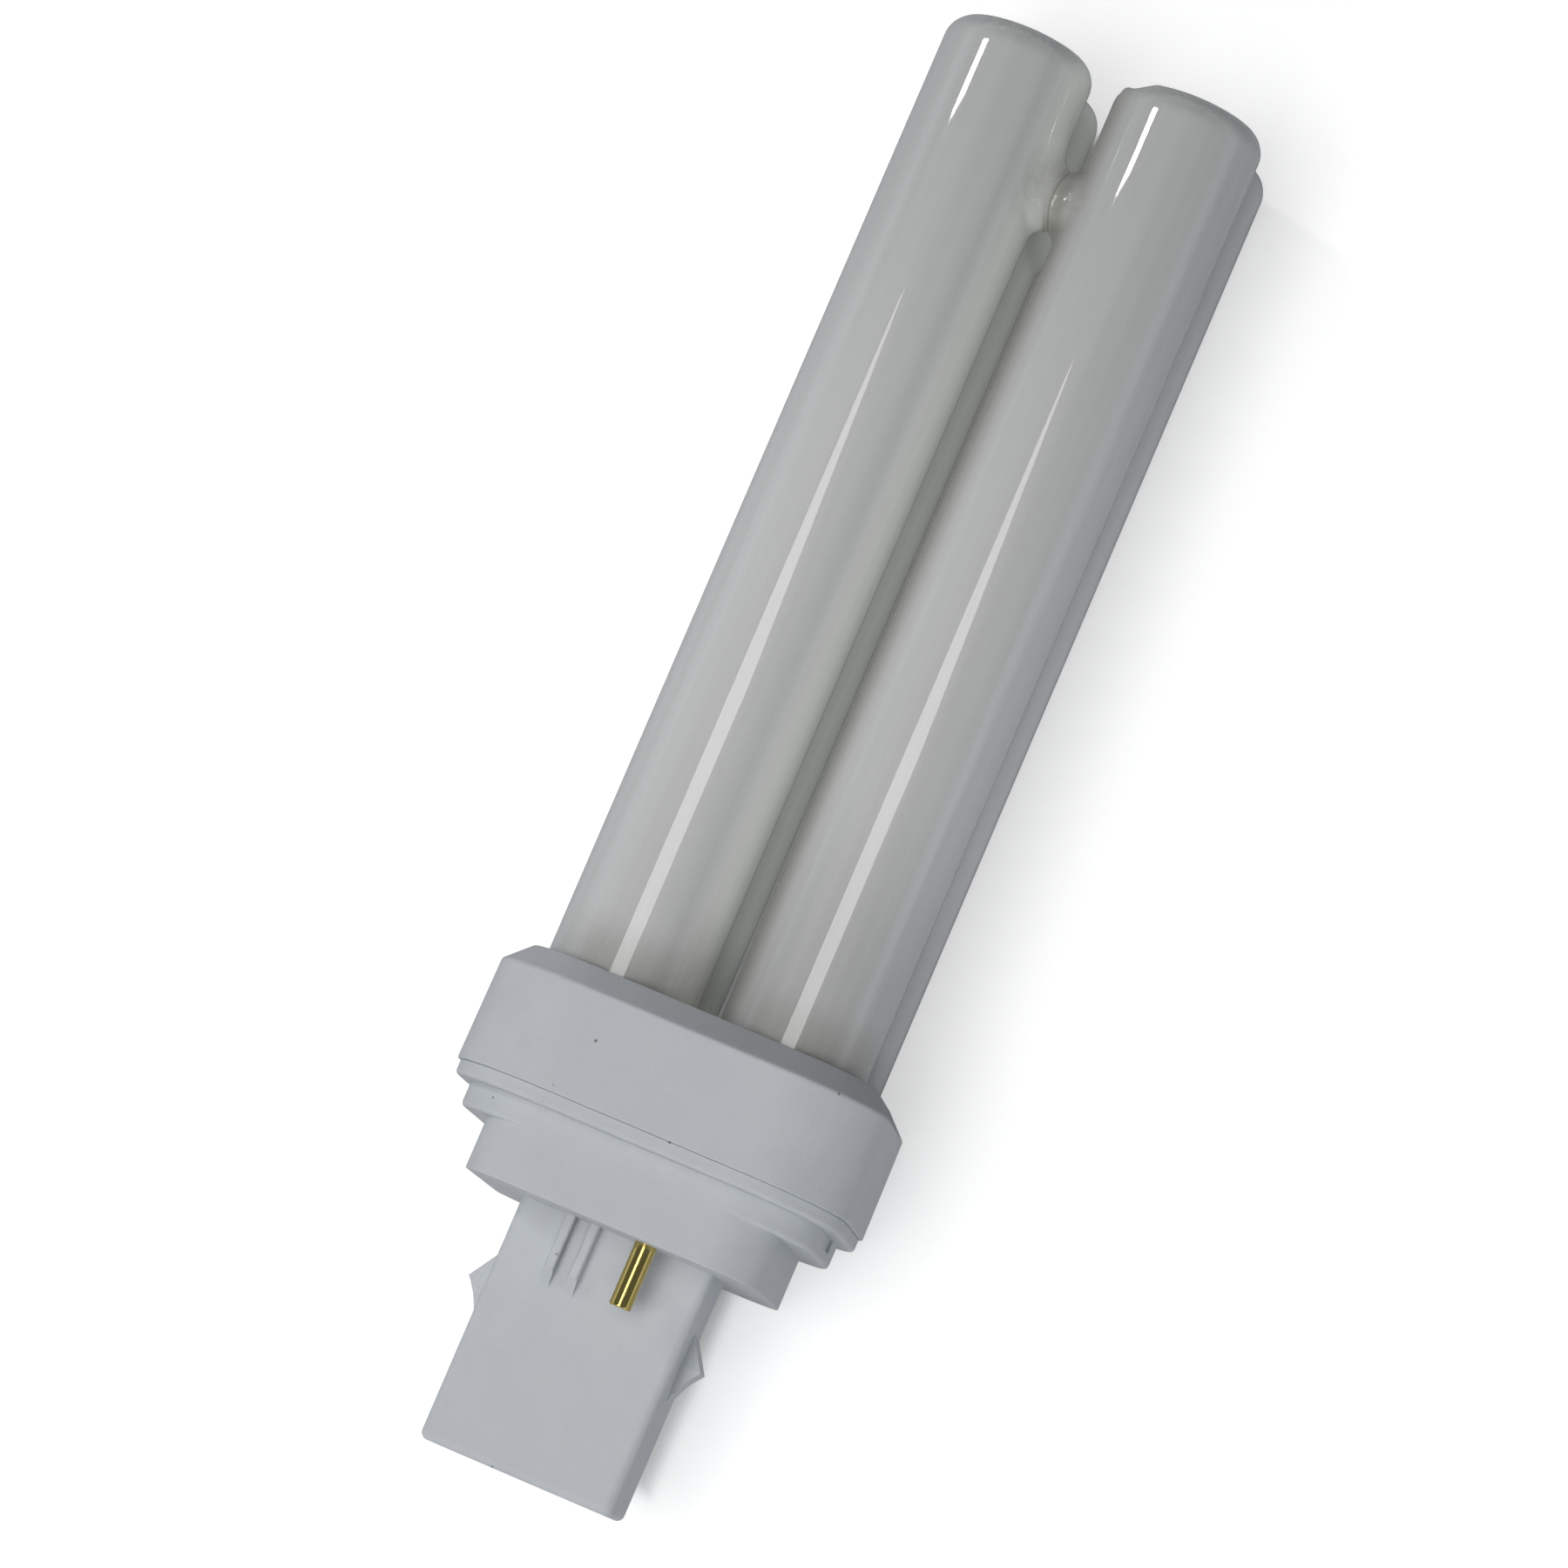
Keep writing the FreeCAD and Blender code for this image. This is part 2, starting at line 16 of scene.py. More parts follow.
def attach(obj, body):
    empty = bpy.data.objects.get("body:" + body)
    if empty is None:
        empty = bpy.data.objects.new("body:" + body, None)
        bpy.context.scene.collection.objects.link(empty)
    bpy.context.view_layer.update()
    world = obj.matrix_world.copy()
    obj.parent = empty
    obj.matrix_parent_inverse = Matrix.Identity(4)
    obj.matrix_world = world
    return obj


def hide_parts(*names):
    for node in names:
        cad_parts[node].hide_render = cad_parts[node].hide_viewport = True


# Glass
TUBE_R = 7.95
LEG = 9.275                # from the lamp's axis to each leg's, across and to the back
TUBE_TOP = 154.0
TUBE_END = 38.75
CROWN_R = 22.0
CROWN_CORNER = 2.9
TOP_NECK_Z = 138.95
LOW_NECK_Z = 57.25
SEAM_R = 3.3               # weld ring of a neck, halfway between two legs
SEAM_GROOVE = 0.15
SEAM_SWAY = (0.7, -0.28)   # how the weld ring bows sideways: curvature and offset
WELD_REACH = 1.5           # how far a weld flares out over the leg
LONG_FLARE = 3.0           # further reach towards the tube end on the photographed side
SEAL = (4.2, 1.6, 31.85)   # half width, half thickness and lower end of a pinched seal
SEAL_POWER = 0.35          # exponent of its outline, a superellipse
SEAL_BEVEL = (0.3, 0.9)    # height of the bevel at its lower end, and the size left there

# Creases of a weld, the last a broad band of painted shade beside the seam: offset and half
# width in mm, strength, and the part of the ring's height over which each appears
SEAM_CREASES = (
    (0.0, 0.13, 0.8, -1.4, -1.2),
    (-0.5, 0.16, 0.45, -0.1, 0.4),
    (-0.45, 0.13, 0.5, -0.4, -0.6),
    (0.4, 0.13, 0.45, -0.4, -0.6),
    # a broad band of painted shade beside the seam
    (0.25, 1.7, 0.36, -1.4, -1.2),
)
CREASE_CORE = 0.3          # share of a crease's half width that has its full strength
CREASE_END = (1.0, 1.1, 1.0, 0.0)   # all end between these shares of the ring's radius

# Grid of a leg
COLUMNS = 128
PATCH = 24                 # half size of the grid patch round a neck, in columns
SEAM_RING = 8              # grid rings of the patch that lie inside the weld ring
FLARE_RING = 17            # ring where the flare has run out
CROWN_ROWS = 12
CORNER_ROWS = 11
END_ROWS = 5               # rows from a patch to the nearer corner
MIDDLE_ROWS = 24           # rows from one patch to the other
SEAL_COLUMNS = 32
TINY = 1e-6                # tolerance in comparing grid rings
SAME_POINT = 0.002         # points nearer than this are merged

# One tube end is a little shorter, with a slanted facet and a pip, from the leg's axis
SHORTER = 0.24
SHORTER_FROM = 5.0               # depth below the tube's top where the shortening starts
SHORTER_OVER = 3.0               # length over which it comes in
FACET_AT = (-4.8, -4.65, -1.6)   # a point of the facet's plane, its height from the tube's top
FACET_SLOPE = (0.65, 0.3)        # rise of the plane across and to the back
PIP = (-7.1, -2.8)
PIP_RISE = 0.4
PIP_R = 0.6

# Plug
POST_LENGTH = 26.1
SHOULDER_Z = 46.75
ROOF_Z = 49.15

# Smooth changes over the glass: what each follows, where it starts and ends, and the value
# before and after it (0 and 1 where none is given)
NOISE_RANGE = (0.3, 0.7)                                # any noise: most of its values
END_SHADE_HEIGHTS = (TUBE_TOP - 2.0, TUBE_TOP - 62.0)         # height, down from the tube ends, which painted shade dims
OUTER_WALL = (7.5, 9.0)                                 # distance from the middle plane
WELD_CLEAR = (4.0, 15.0, 1.0, 0.0)                      # squared distance from a weld
FACING_WELD = (9.0, 30.0, 0.6, 1.0)                     # squared distance from a weld
FACING_WALL = (0.8, 5.2, 1.0, 0.0)                      # distance from a plane between legs
FACING_ACROSS = (-1.0, 1.0, 1.0, 0.12)                  # place across: weaker on the right
INNER_RIGHT = (1.0, 3.9)                                # place across: out of the gap's shade
INNER_LEFT = (0.0, -0.5)                                # and the same towards the left
RIGHT_SHADE = (-2.0, 2.0, 0.0, 0.045)                   # place across: darker on the right
FAR_LEG_ACROSS = (11.0, 14.0)                           # place across: light on that leg
FAR_LEG_BACK = (2.0, 6.0)                               # and its place to the back
CAP_SHADE = (ROOF_Z + 30.0, ROOF_Z + 4.0)               # height, down to the cap
CAP_SHADE_ACROSS = (-2.0, 2.0, 0.05, 0.18)              # place across: deeper on the right
IN_GAP = (2.5, 6.5, 1.0, 0.0)                           # distance from the middle, across
THIN_AND_SHADE_ON_LEGS = (ROOF_Z + 1.5, ROOF_Z + 6.5, 0.36, 0.0)  # height, up from the cap
THIN_AND_SHADE_IN_GAP = (ROOF_Z + 2.0, ROOF_Z + 11.5, 0.40, 0.0)  # height, up from the cap
THIN_AND_SHADE_ON_SIDE = (-7.5, -3.0, 0.15, 1.0)                  # from a leg's axis: less on its lit left side
THIN_PATCHES = (0.35, 0.65, 0.93, 1.05)                 # the powder's noise
FROST = (TUBE_TOP - 3.4, TUBE_TOP - 1.2)                # height, up to the tube's end
DARK_FLECKS = (0.44, 0.56, 0.0, 0.35)                   # the powder's noise
PALE_FLECKS = (0.56, 0.64, 0.0, 0.5)                    # the flecks' noise
BARE_SHARE = 0.8           # share of powder gone in the middle of a weld
DIRT_SHARE = 0.7           # how much a dirt speck covers
CREASE_DEPTH = 0.3         # compared with the unevenness of the molten glass
LIGHT_THROUGH = 0.17       # painted glow, as emission, where legs face each other

# The same over the cap
SHOULDER = (SHOULDER_Z - 0.2, SHOULDER_Z + 0.4)         # height, up to the shoulder
SHOULDER_SHADE_ACROSS = (-19.0, 15.0, 0.0, 0.30)                  # place across: painted shade, deeper on the right

# Colours; a pair is gone over from the first to the second
WHITE = (1.0, 1.0, 1.0, 1.0)
BLACK = (0.0, 0.0, 0.0, 1.0)
# the powder: its first colour is darkened by painted shade at the tube ends
POWDER_AND_END_SHADE = ((0.505, 0.51, 0.507, 1.0), (0.611, 0.612, 0.609, 1.0))
POWDER_BANDS = ((0.96, 0.96, 0.96, 1.0), (1.04, 1.04, 1.04, 1.0))
LIT_THROUGH = (1.29, 1.31, 1.25, 1.0)
GAP_SHADE = (0.47, 0.46, 0.435, 1.0)
FAR_LEG_LIGHT = (1.18, 1.18, 1.2, 1.0)
BARE_GLASS = (0.40, 0.405, 0.38, 1.0)
THIN_POWDER_AND_SHADE = (0.20, 0.19, 0.15, 1.0)
DARK_FLECK = (0.36, 0.37, 0.36, 1.0)
PALE_FLECK = (0.72, 0.74, 0.73, 1.0)
CREASE_AND_SHADE = (0.13, 0.12, 0.095, 1.0)
GLASS_DIRT = (0.16, 0.16, 0.15, 1.0)
GLASS_GLOW = (0.96, 1.0, 0.93, 1.0)
PLASTIC = ((0.532, 0.556, 0.585, 1.0), (0.562, 0.584, 0.607, 1.0))
PLASTIC_GRAIN = (0.75, 0.77, 0.79, 1.0)
PLASTIC_SPECK = (0.09, 0.08, 0.07, 1.0)
BRASS = ((0.56, 0.44, 0.13, 1.0), (0.68, 0.56, 0.21, 1.0))
BRASS_PIT = (0.20, 0.11, 0.04, 1.0)
TIN = ((0.50, 0.50, 0.48, 1.0), (0.72, 0.72, 0.70, 1.0))
CEMENT = ((0.50, 0.47, 0.41, 1.0), (0.62, 0.60, 0.54, 1.0))
CEMENT_PORE = (0.25, 0.23, 0.2, 1.0)
BOTTLE_AND_SEED = ((0.93, 0.95, 0.94, 1.0), (0.70, 0.73, 0.72, 1.0))
CASE = ((0.22, 0.075, 0.03, 1.0), (0.32, 0.12, 0.05, 1.0))
TABLE = ((0.83, 0.83, 0.83, 1.0), (0.85, 0.85, 0.85, 1.0))
MIRRORED_TABLE = (0.51, 0.52, 0.545, 1.0)
ROOM_GLOW = (0.94, 0.985, 1.05, 1.0)

# Camera, fitted to the outline in the photograph
CAMERA_AT = (87.568, -728.964, -0.89)
CAMERA_AIM = (-3.32, 0.0, 74.83)
CAMERA_ROLL = 23.24        # degrees that the lamp leans to the right
LENS = 167.62
SENSOR = 36.0

# Glowing panels over the table: outline in metres, and radiance
PANEL_HEIGHT = 1.5
PANELS = {
    "overhead_panel": (
        ((-0.40, 0.363), (-0.35, 0.363), (0.16, 0.225), (0.16, 0.06), (-0.40, 0.06)), 5.2),
    "left_strip": (
        ((-2.10, 0.744), (-1.575, 0.658), (-1.60, 0.560), (-1.90, 0.594), (-2.10, 0.627)), 52.0),
}

# Square soft boxes aimed at the lamp: place and side in metres, radiance, colour, and whether
# the glass mirrors them
SOFT_BOXES = {
    "top_box": ((-0.25, -0.27, 1.5), 0.6, 4.7, (1.0, 1.0, 1.0), True),
    "fill_box": ((-0.1, -0.35, 1.45), 1.5, 0.97, (1.0, 1.0, 1.0), False),
    "left_box": ((-1.2, 0.1, 0.3), 0.6, 0.6, (0.92, 1.0, 1.09), False),
    "right_box": ((1.4, -0.9, 0.6), 1.2, 0.75, (0.95, 1.0, 1.05), True),
    "near_box": ((-0.2, -1.25, 0.9), 0.9, 1.6, (1.0, 1.0, 1.0), True),
}

# Room: how bright it is, by the upward and sideways part of a ray's direction
HORIZON = (0.2, 0.45, 0.62, 0.0)
ROOM_SIDES = (0.5, 0.9)
ROOM_ABOVE = 0.15          # in mirrored rays only

# Table: half its side, its emission in the open and under the lamp, where less emission
# paints a shadow, and where the two meet, across and along, in metres
TABLE_HALF = 3.0
OPEN_TABLE = 0.48
SHADOW_UNDER_LAMP = 0.1
LAMP_ACROSS = (0.008, 0.012)
LAMP_ALONG = (0.072, 0.076)

MM = 0.001                 # metres in a millimetre


def lamp_frame(record):
    """Matrix from the lamp's own millimetres to the frame, from the mounts on its axis."""
    mounts = {mount["name"]: mount for mount in record["mounts"]}
    up = -Vector(mounts["guide_post"]["axis"]).normalized()
    side = Vector((1.0, 0.0, 0.0))
    back = up.cross(side)
    on_axis = Vector(mounts["guide_post"]["pos_m"])
    seat = Vector(mounts["seating_face"]["pos_m"])
    origin = on_axis + up * (up.dot(seat - on_axis) - POST_LENGTH * MM)
    turn = Matrix((side, back, up)).transposed()
    return Matrix.Translation(origin) @ turn.to_4x4() @ Matrix.Scale(MM, 4)


def place(points, lamp):
    """Points of shape (..., 3) in lamp millimetres as frame metres."""
    matrix = np.array(lamp)
    return points @ matrix[:3, :3].T + matrix[:3, 3]


def mesh_object(name, vertices, faces, material):
    """Smooth mesh object from arrays, its doubles merged and its faces turned outwards."""
    mesh = bpy.data.meshes.new(name)
    mesh.from_pydata(vertices.reshape(-1, 3).tolist(), [], faces.tolist())
    build = bmesh.new()
    build.from_mesh(mesh)
    bmesh.ops.remove_doubles(build, verts=build.verts, dist=SAME_POINT * MM)
    bmesh.ops.recalc_face_normals(build, faces=build.faces)
    build.to_mesh(mesh)
    build.free()
    mesh.polygons.foreach_set("use_smooth", [True] * len(mesh.polygons))
    mesh.materials.append(material)
    obj = bpy.data.objects.new(name, mesh)
    bpy.context.scene.collection.objects.link(obj)
    return obj


def grid_faces(rows, columns):
    """Quads of a grid whose columns close on themselves."""
    row, column = np.meshgrid(np.arange(rows - 1), np.arange(columns), indexing="ij")
    after = (column + 1) % columns
    quads = np.stack((row * columns + column, row * columns + after,
                      (row + 1) * columns + after, (row + 1) * columns + column), axis=-1)
    return quads.reshape(-1, 4)


def leg_profile():
    """Radius and height down a leg: crown arc, corner arc, straight wall and the same below."""
    lift = math.sqrt((CROWN_R - CROWN_CORNER) ** 2 - (TUBE_R - CROWN_CORNER) ** 2)
    corner_x = TUBE_R - CROWN_CORNER
    meet = math.atan2(lift, corner_x)
    on_crown = np.linspace(math.pi / 2, meet, CROWN_ROWS, endpoint=False)
    on_corner = np.linspace(meet, 0.0, CORNER_ROWS)
    radius = np.concatenate((CROWN_R * np.cos(on_crown),
                             corner_x + CROWN_CORNER * np.cos(on_corner)))
    below = np.concatenate((CROWN_R * (1.0 - np.sin(on_crown)),
                            CROWN_R - lift - CROWN_CORNER * np.sin(on_corner)))
    step = TUBE_R * math.tau / COLUMNS
    reach = PATCH * step
    top = TUBE_TOP - below[-1]
    bottom = TUBE_END + below[-1]
    wall = np.concatenate((
        np.linspace(top, TOP_NECK_Z + reach, END_ROWS)[1:-1],
        TOP_NECK_Z + step * np.arange(PATCH, -PATCH - 1, -1),
        np.linspace(TOP_NECK_Z - reach, LOW_NECK_Z + reach, MIDDLE_ROWS)[1:-1],
        LOW_NECK_Z + step * np.arange(PATCH, -PATCH - 1, -1),
        np.linspace(LOW_NECK_Z - reach, bottom, END_ROWS)[1:-1],
    ))
    heights = np.concatenate((TUBE_TOP - below, wall, TUBE_END + below[::-1]))
    radii = np.concatenate((radius, np.full(len(wall), TUBE_R), radius[::-1]))
    return radii, heights


def circled(u, v):
    """Turns the concentric squares of a grid patch into circles: size and direction there."""
    wide = np.abs(u) >= np.abs(v)
    larger = np.where(wide, u, v)
    smaller = np.where(wide, v, u)
    slant = math.pi / 4 * smaller / np.where(larger == 0.0, 1.0, larger)
    turn = np.where(wide, slant, math.pi / 2 - slant)
    sign = np.where(larger < 0.0, -1.0, 1.0)
    return np.abs(larger), sign * np.cos(turn), sign * np.sin(turn)


def weld(points, inside, toward, centre_z, angles, heights, flare_up):
    """Draws the grid patch round one neck out to the plane halfway to the next leg.

    Concentric squares of the patch become circles round the neck's axis. Between the weld
    ring and the end of the flare the surface follows a quarter ellipse, upright at the ring
    and flush with the leg at its end; beyond it the circles blend back into the grid. The
    longer flare grows with the square of the height over the neck's middle. The ring bows
    sideways by curvature * (height / radius)^2 + offset, which dies out quickly on the flare.
    """
    step = math.tau / COLUMNS
    across = (angles - toward + math.pi) % math.tau - math.pi
    patch_size = PATCH * step * TUBE_R
    ring, round_x, round_z = circled(across / (PATCH * step), (heights - centre_z) / patch_size)
    here = ring <= 1.0 + TINY

    first = SEAM_RING / PATCH
    last = FLARE_RING / PATCH
    reach = WELD_REACH + flare_up * np.clip(round_z, 0.0, 1.0) ** 2
    on_flare = np.clip((ring - first) / (last - first), 0.0, 1.0)
    quarter = on_flare * math.pi / 2
    beyond = np.clip((ring - last) / (1.0 - last), 0.0, 1.0)
    radius = np.where(ring < first, SEAM_R * ring / first,
                      SEAM_R + reach * (1.0 - np.cos(quarter)))
    radius = radius + beyond * (patch_size - (SEAM_R + reach))
    radius = radius - SEAM_GROOVE * (np.abs(ring - first) < TINY)
    blend = beyond * beyond * (3.0 - 2.0 * beyond)
    plain_x = TUBE_R * np.sin(across)
    side = (1.0 - blend) * radius * round_x + blend * plain_x
    height = (1.0 - blend) * radius * round_z + blend * (heights - centre_z)
    surface = np.sqrt(np.maximum(TUBE_R ** 2 - side ** 2, 0.0))
    bow = math.cos(toward) * (SEAM_SWAY[0] * (height / SEAM_R) ** 2 + SEAM_SWAY[1])
    drawn = np.where(ring < last, 1.0 - np.sin(quarter), 0.0)
    out = surface + (LEG + bow * drawn ** 4 - surface) * drawn

    away = np.array((math.cos(toward), math.sin(toward)))
    sideways = np.array((-math.sin(toward), math.cos(toward)))
    moved = np.stack((out * away[0] + side * sideways[0],
                      out * away[1] + side * sideways[1], height + centre_z), axis=-1)
    points = np.where(here[..., None], moved, points)
    return points, inside | (ring < first - TINY)


def leg_grid(x, y, necks, dent=None):
    """One leg: its profile turned about its axis, with a weld drawn out for each neck."""
    radii, heights = leg_profile()
    angle = np.arange(COLUMNS) * math.tau / COLUMNS
    angles, levels = np.meshgrid(angle, heights)
    spread = np.repeat(radii[:, None], COLUMNS, axis=1)
    points = np.stack((spread * np.cos(angles), spread * np.sin(angles), levels), axis=-1)
    inside = np.zeros(angles.shape, bool)
    for toward, centre_z, flare_up in necks:
        points, inside = weld(points, inside, toward, centre_z, angles, levels, flare_up)
    if dent is not None:
        points = dent(points)
    points = points + np.array((x, y, 0.0))
    faces = grid_faces(*inside.shape)
    keep = ~inside.reshape(-1)[faces].any(axis=1)
    return points.reshape(-1, 3), faces[keep]


def end_dent(points):
    """The slanted facet that one shorter tube end has near its inner edge, and the pip on it.

    The end is cut by a plane through a point, so z becomes the lesser of itself and
    point_z + slope_x * (x - point_x) + slope_y * (y - point_y). The pip is a round bump,
    rise * exp(-gap^2 / radius^2).
    """
    x, y, z = points[..., 0], points[..., 1], points[..., 2]
    at_end = np.clip((z - (TUBE_TOP - SHORTER_FROM)) / SHORTER_OVER, 0.0, 1.0)
    plane = (TUBE_TOP + FACET_AT[2] + FACET_SLOPE[0] * (x - FACET_AT[0])
             + FACET_SLOPE[1] * (y - FACET_AT[1]))
    gap = (x - PIP[0]) ** 2 + (y - PIP[1]) ** 2
    pip = PIP_RISE * at_end * np.exp(-gap / PIP_R ** 2)
    points[..., 2] = np.minimum(z - SHORTER * at_end, plane) + pip
    return points


def seal_grid(x, y):
    """Pinched seal: a rounded slab, its outline a superellipse, bevelled at its lower end."""
    half_w, half_t, low = SEAL
    bevel, end_size = SEAL_BEVEL
    angle = np.arange(SEAL_COLUMNS) * math.tau / SEAL_COLUMNS
    across = half_w * np.sign(np.cos(angle)) * np.abs(np.cos(angle)) ** SEAL_POWER
    deep = half_t * np.sign(np.sin(angle)) * np.abs(np.sin(angle)) ** SEAL_POWER
    levels = np.array((low, low, low + bevel, TUBE_END + CROWN_CORNER))
    size = np.array((0.0, end_size, 1.0, 1.0))
    points = np.stack((x + size[:, None] * across, y + size[:, None] * deep,
                       np.repeat(levels[:, None], SEAL_COLUMNS, axis=1)), axis=-1)
    return points.reshape(-1, 3), grid_faces(len(levels), SEAL_COLUMNS)


def glass_tubes(lamp, material):
    """The glass vessel: four legs, three welded necks and two seals in one mesh."""
    right, left = 0.0, math.pi
    back, front = math.pi / 2, -math.pi / 2
    parts = [
        leg_grid(-LEG, -LEG, ((right, TOP_NECK_Z, LONG_FLARE), (back, LOW_NECK_Z, 0.0))),
        leg_grid(LEG, -LEG, ((left, TOP_NECK_Z, 0.0),), end_dent),
        leg_grid(-LEG, LEG, ((right, TOP_NECK_Z, 0.0), (front, LOW_NECK_Z, 0.0))),
        leg_grid(LEG, LEG, ((left, TOP_NECK_Z, 0.0),)),
        seal_grid(LEG, -LEG),
        seal_grid(LEG, LEG),
    ]
    vertices = []
    faces = []
    count = 0
    for points, quads in parts:
        vertices.append(points)
        faces.append(quads + count)
        count += len(points)
    return mesh_object("glass_tubes", place(np.concatenate(vertices), lamp),
                       np.concatenate(faces), material)


def shader(name):
    """New material with its Principled shader and its node tree."""
    material = bpy.data.materials.new(name)
    material.use_nodes = True
    tree = material.node_tree
    return material, tree, tree.nodes["Principled BSDF"]


def feed(tree, socket, value):
    """Links a socket to an input, or sets the input to a plain value."""
    if isinstance(value, bpy.types.NodeSocket):
        tree.links.new(value, socket)
    else:
        socket.default_value = value


def maths(tree, operation, *values):
    """One step of arithmetic."""
    node = tree.nodes.new("ShaderNodeMath")
    node.operation = operation
    for socket, value in zip(node.inputs, values):
        feed(tree, socket, value)
    return node.outputs[0]


def times(tree, first, second):
    """Product of two values."""
    return maths(tree, "MULTIPLY", first, second)


def size_of(tree, value):
    """The value without its sign."""
    return maths(tree, "ABSOLUTE", value)


def fade(tree, value, start, end, first=0.0, last=1.0):
    """Smooth change from first to last while the value goes from start to end."""
    node = tree.nodes.new("ShaderNodeMapRange")
    node.interpolation_type = "SMOOTHSTEP"
    feed(tree, node.inputs["Value"], value)
    feed(tree, node.inputs["From Min"], start)
    feed(tree, node.inputs["From Max"], end)
    feed(tree, node.inputs["To Min"], first)
    feed(tree, node.inputs["To Max"], last)
    return node.outputs["Result"]


def blend_colours(tree, factor, first, second, mode="MIX"):
    """First colour going over to the second as the factor goes from 0 to 1."""
    node = tree.nodes.new("ShaderNodeMix")
    node.data_type = "RGBA"
    node.blend_type = mode
    node.clamp_factor = True
    colours = [socket for socket in node.inputs if socket.type == "RGBA"]
    feed(tree, node.inputs["Factor"], factor)
    feed(tree, colours[0], first)
    feed(tree, colours[1], second)
    return [socket for socket in node.outputs if socket.type == "RGBA"][0]


def tinted(tree, colour, factor, first, second):
    """A colour multiplied by one that goes from first to second with the factor."""
    tint = blend_colours(tree, factor, first, second)
    return blend_colours(tree, 1.0, colour, tint, "MULTIPLY")


def stretched(tree, vector, scale):
    """The vector multiplied by a scale along each axis."""
    node = tree.nodes.new("ShaderNodeMapping")
    feed(tree, node.inputs["Vector"], vector)
    node.inputs["Scale"].default_value = scale
    return node.outputs["Vector"]


def noise(tree, vector, scale, detail=2.0, roughness=0.5):
    """Soft random value, mostly from 0.3 to 0.7."""
    node = tree.nodes.new("ShaderNodeTexNoise")
    feed(tree, node.inputs["Vector"], vector)
    feed(tree, node.inputs["Scale"], scale)
    node.inputs["Detail"].default_value = detail
    node.inputs["Roughness"].default_value = roughness
    return node.outputs["Fac"]


def parts_of(tree, vector):
    """The x, y and z of a vector."""
    node = tree.nodes.new("ShaderNodeSeparateXYZ")
    feed(tree, node.inputs["Vector"], vector)
    return node.outputs


def bumped(tree, surface, height, depth, strength=1.0):
    """Gives a shader small relief of a depth in metres, and returns its normal."""
    node = tree.nodes.new("ShaderNodeBump")
    node.inputs["Strength"].default_value = strength
    node.inputs["Distance"].default_value = depth
    feed(tree, node.inputs["Height"], height)
    tree.links.new(node.outputs["Normal"], surface.inputs["Normal"])
    return node.outputs["Normal"]


def lamp_coordinates(tree, lamp):
    """Object coordinates turned into the lamp's own millimetres."""
    where = tree.nodes.new("ShaderNodeTexCoord")
    turn = tree.nodes.new("ShaderNodeMapping")
    turn.vector_type = "TEXTURE"
    spot, rotation, _ = lamp.decompose()
    turn.inputs["Location"].default_value = spot
    turn.inputs["Rotation"].default_value = rotation.to_euler()
    turn.inputs["Scale"].default_value = (MM, MM, MM)
    tree.links.new(where.outputs["Object"], turn.inputs["Vector"])
    return turn.outputs["Vector"]


def effect(name, inputs, outputs):
    """Empty node group with named inputs and outputs."""
    group = bpy.data.node_groups.new(name, "ShaderNodeTree")
    for label, kind in inputs:
        group.interface.new_socket(label, in_out="INPUT", socket_type=kind)
    for label, kind in outputs:
        group.interface.new_socket(label, in_out="OUTPUT", socket_type=kind)
    given = group.nodes.new("NodeGroupInput").outputs
    result = group.nodes.new("NodeGroupOutput").inputs
    return group, given, result


def speck_effect():
    """Small round dirt specks: one in a few cells of a Voronoi pattern, size and cell in mm."""
    group, given, result = effect("specks", (
        ("Vector", "NodeSocketVector"), ("Cell", "NodeSocketFloat"),
        ("Size", "NodeSocketFloat"), ("Share", "NodeSocketFloat"),
    ), (("Mask", "NodeSocketFloat"),))
    smallest = 0.4   # share of the given size
    core = 0.6       # share of a speck that isn't faded
    cells = group.nodes.new("ShaderNodeTexVoronoi")
    group.links.new(given["Vector"], cells.inputs["Vector"])
    feed(group, cells.inputs["Scale"], maths(group, "DIVIDE", 1.0, given["Cell"]))
    gap = times(group, cells.outputs["Distance"], given["Cell"])
    colour = group.nodes.new("ShaderNodeSeparateColor")
    group.links.new(cells.outputs["Color"], colour.inputs["Color"])
    size = times(group, given["Size"],
                 fade(group, colour.outputs["Green"], 0.0, 1.0, smallest, 1.0))
    spot = fade(group, gap, times(group, size, core), size, 1.0, 0.0)
    chosen = maths(group, "LESS_THAN", colour.outputs["Red"], given["Share"])
    feed(group, result["Mask"], times(group, spot, chosen))
    return group


def grain_effect():
    """Fine grain and broad cloudiness of a moulded or pressed surface; sizes in mm."""
    group, given, result = effect("moulded_grain", (
        ("Vector", "NodeSocketVector"), ("Grain", "NodeSocketFloat"),
        ("Cloud", "NodeSocketFloat"),
    ), (
        ("Height", "NodeSocketFloat"), ("Tone", "NodeSocketFloat"),
        ("Cloudiness", "NodeSocketFloat"),
    ))
    fine = noise(group, given["Vector"], maths(group, "DIVIDE", 1.0, given["Grain"]),
                 detail=3.0, roughness=0.6)
    broad = noise(group, given["Vector"], maths(group, "DIVIDE", 1.0, given["Cloud"]),
                  detail=3.0, roughness=0.55)
    feed(group, result["Height"], fine)
    feed(group, result["Tone"], fade(group, fine, *NOISE_RANGE))
    feed(group, result["Cloudiness"], fade(group, broad, *NOISE_RANGE))
    return group


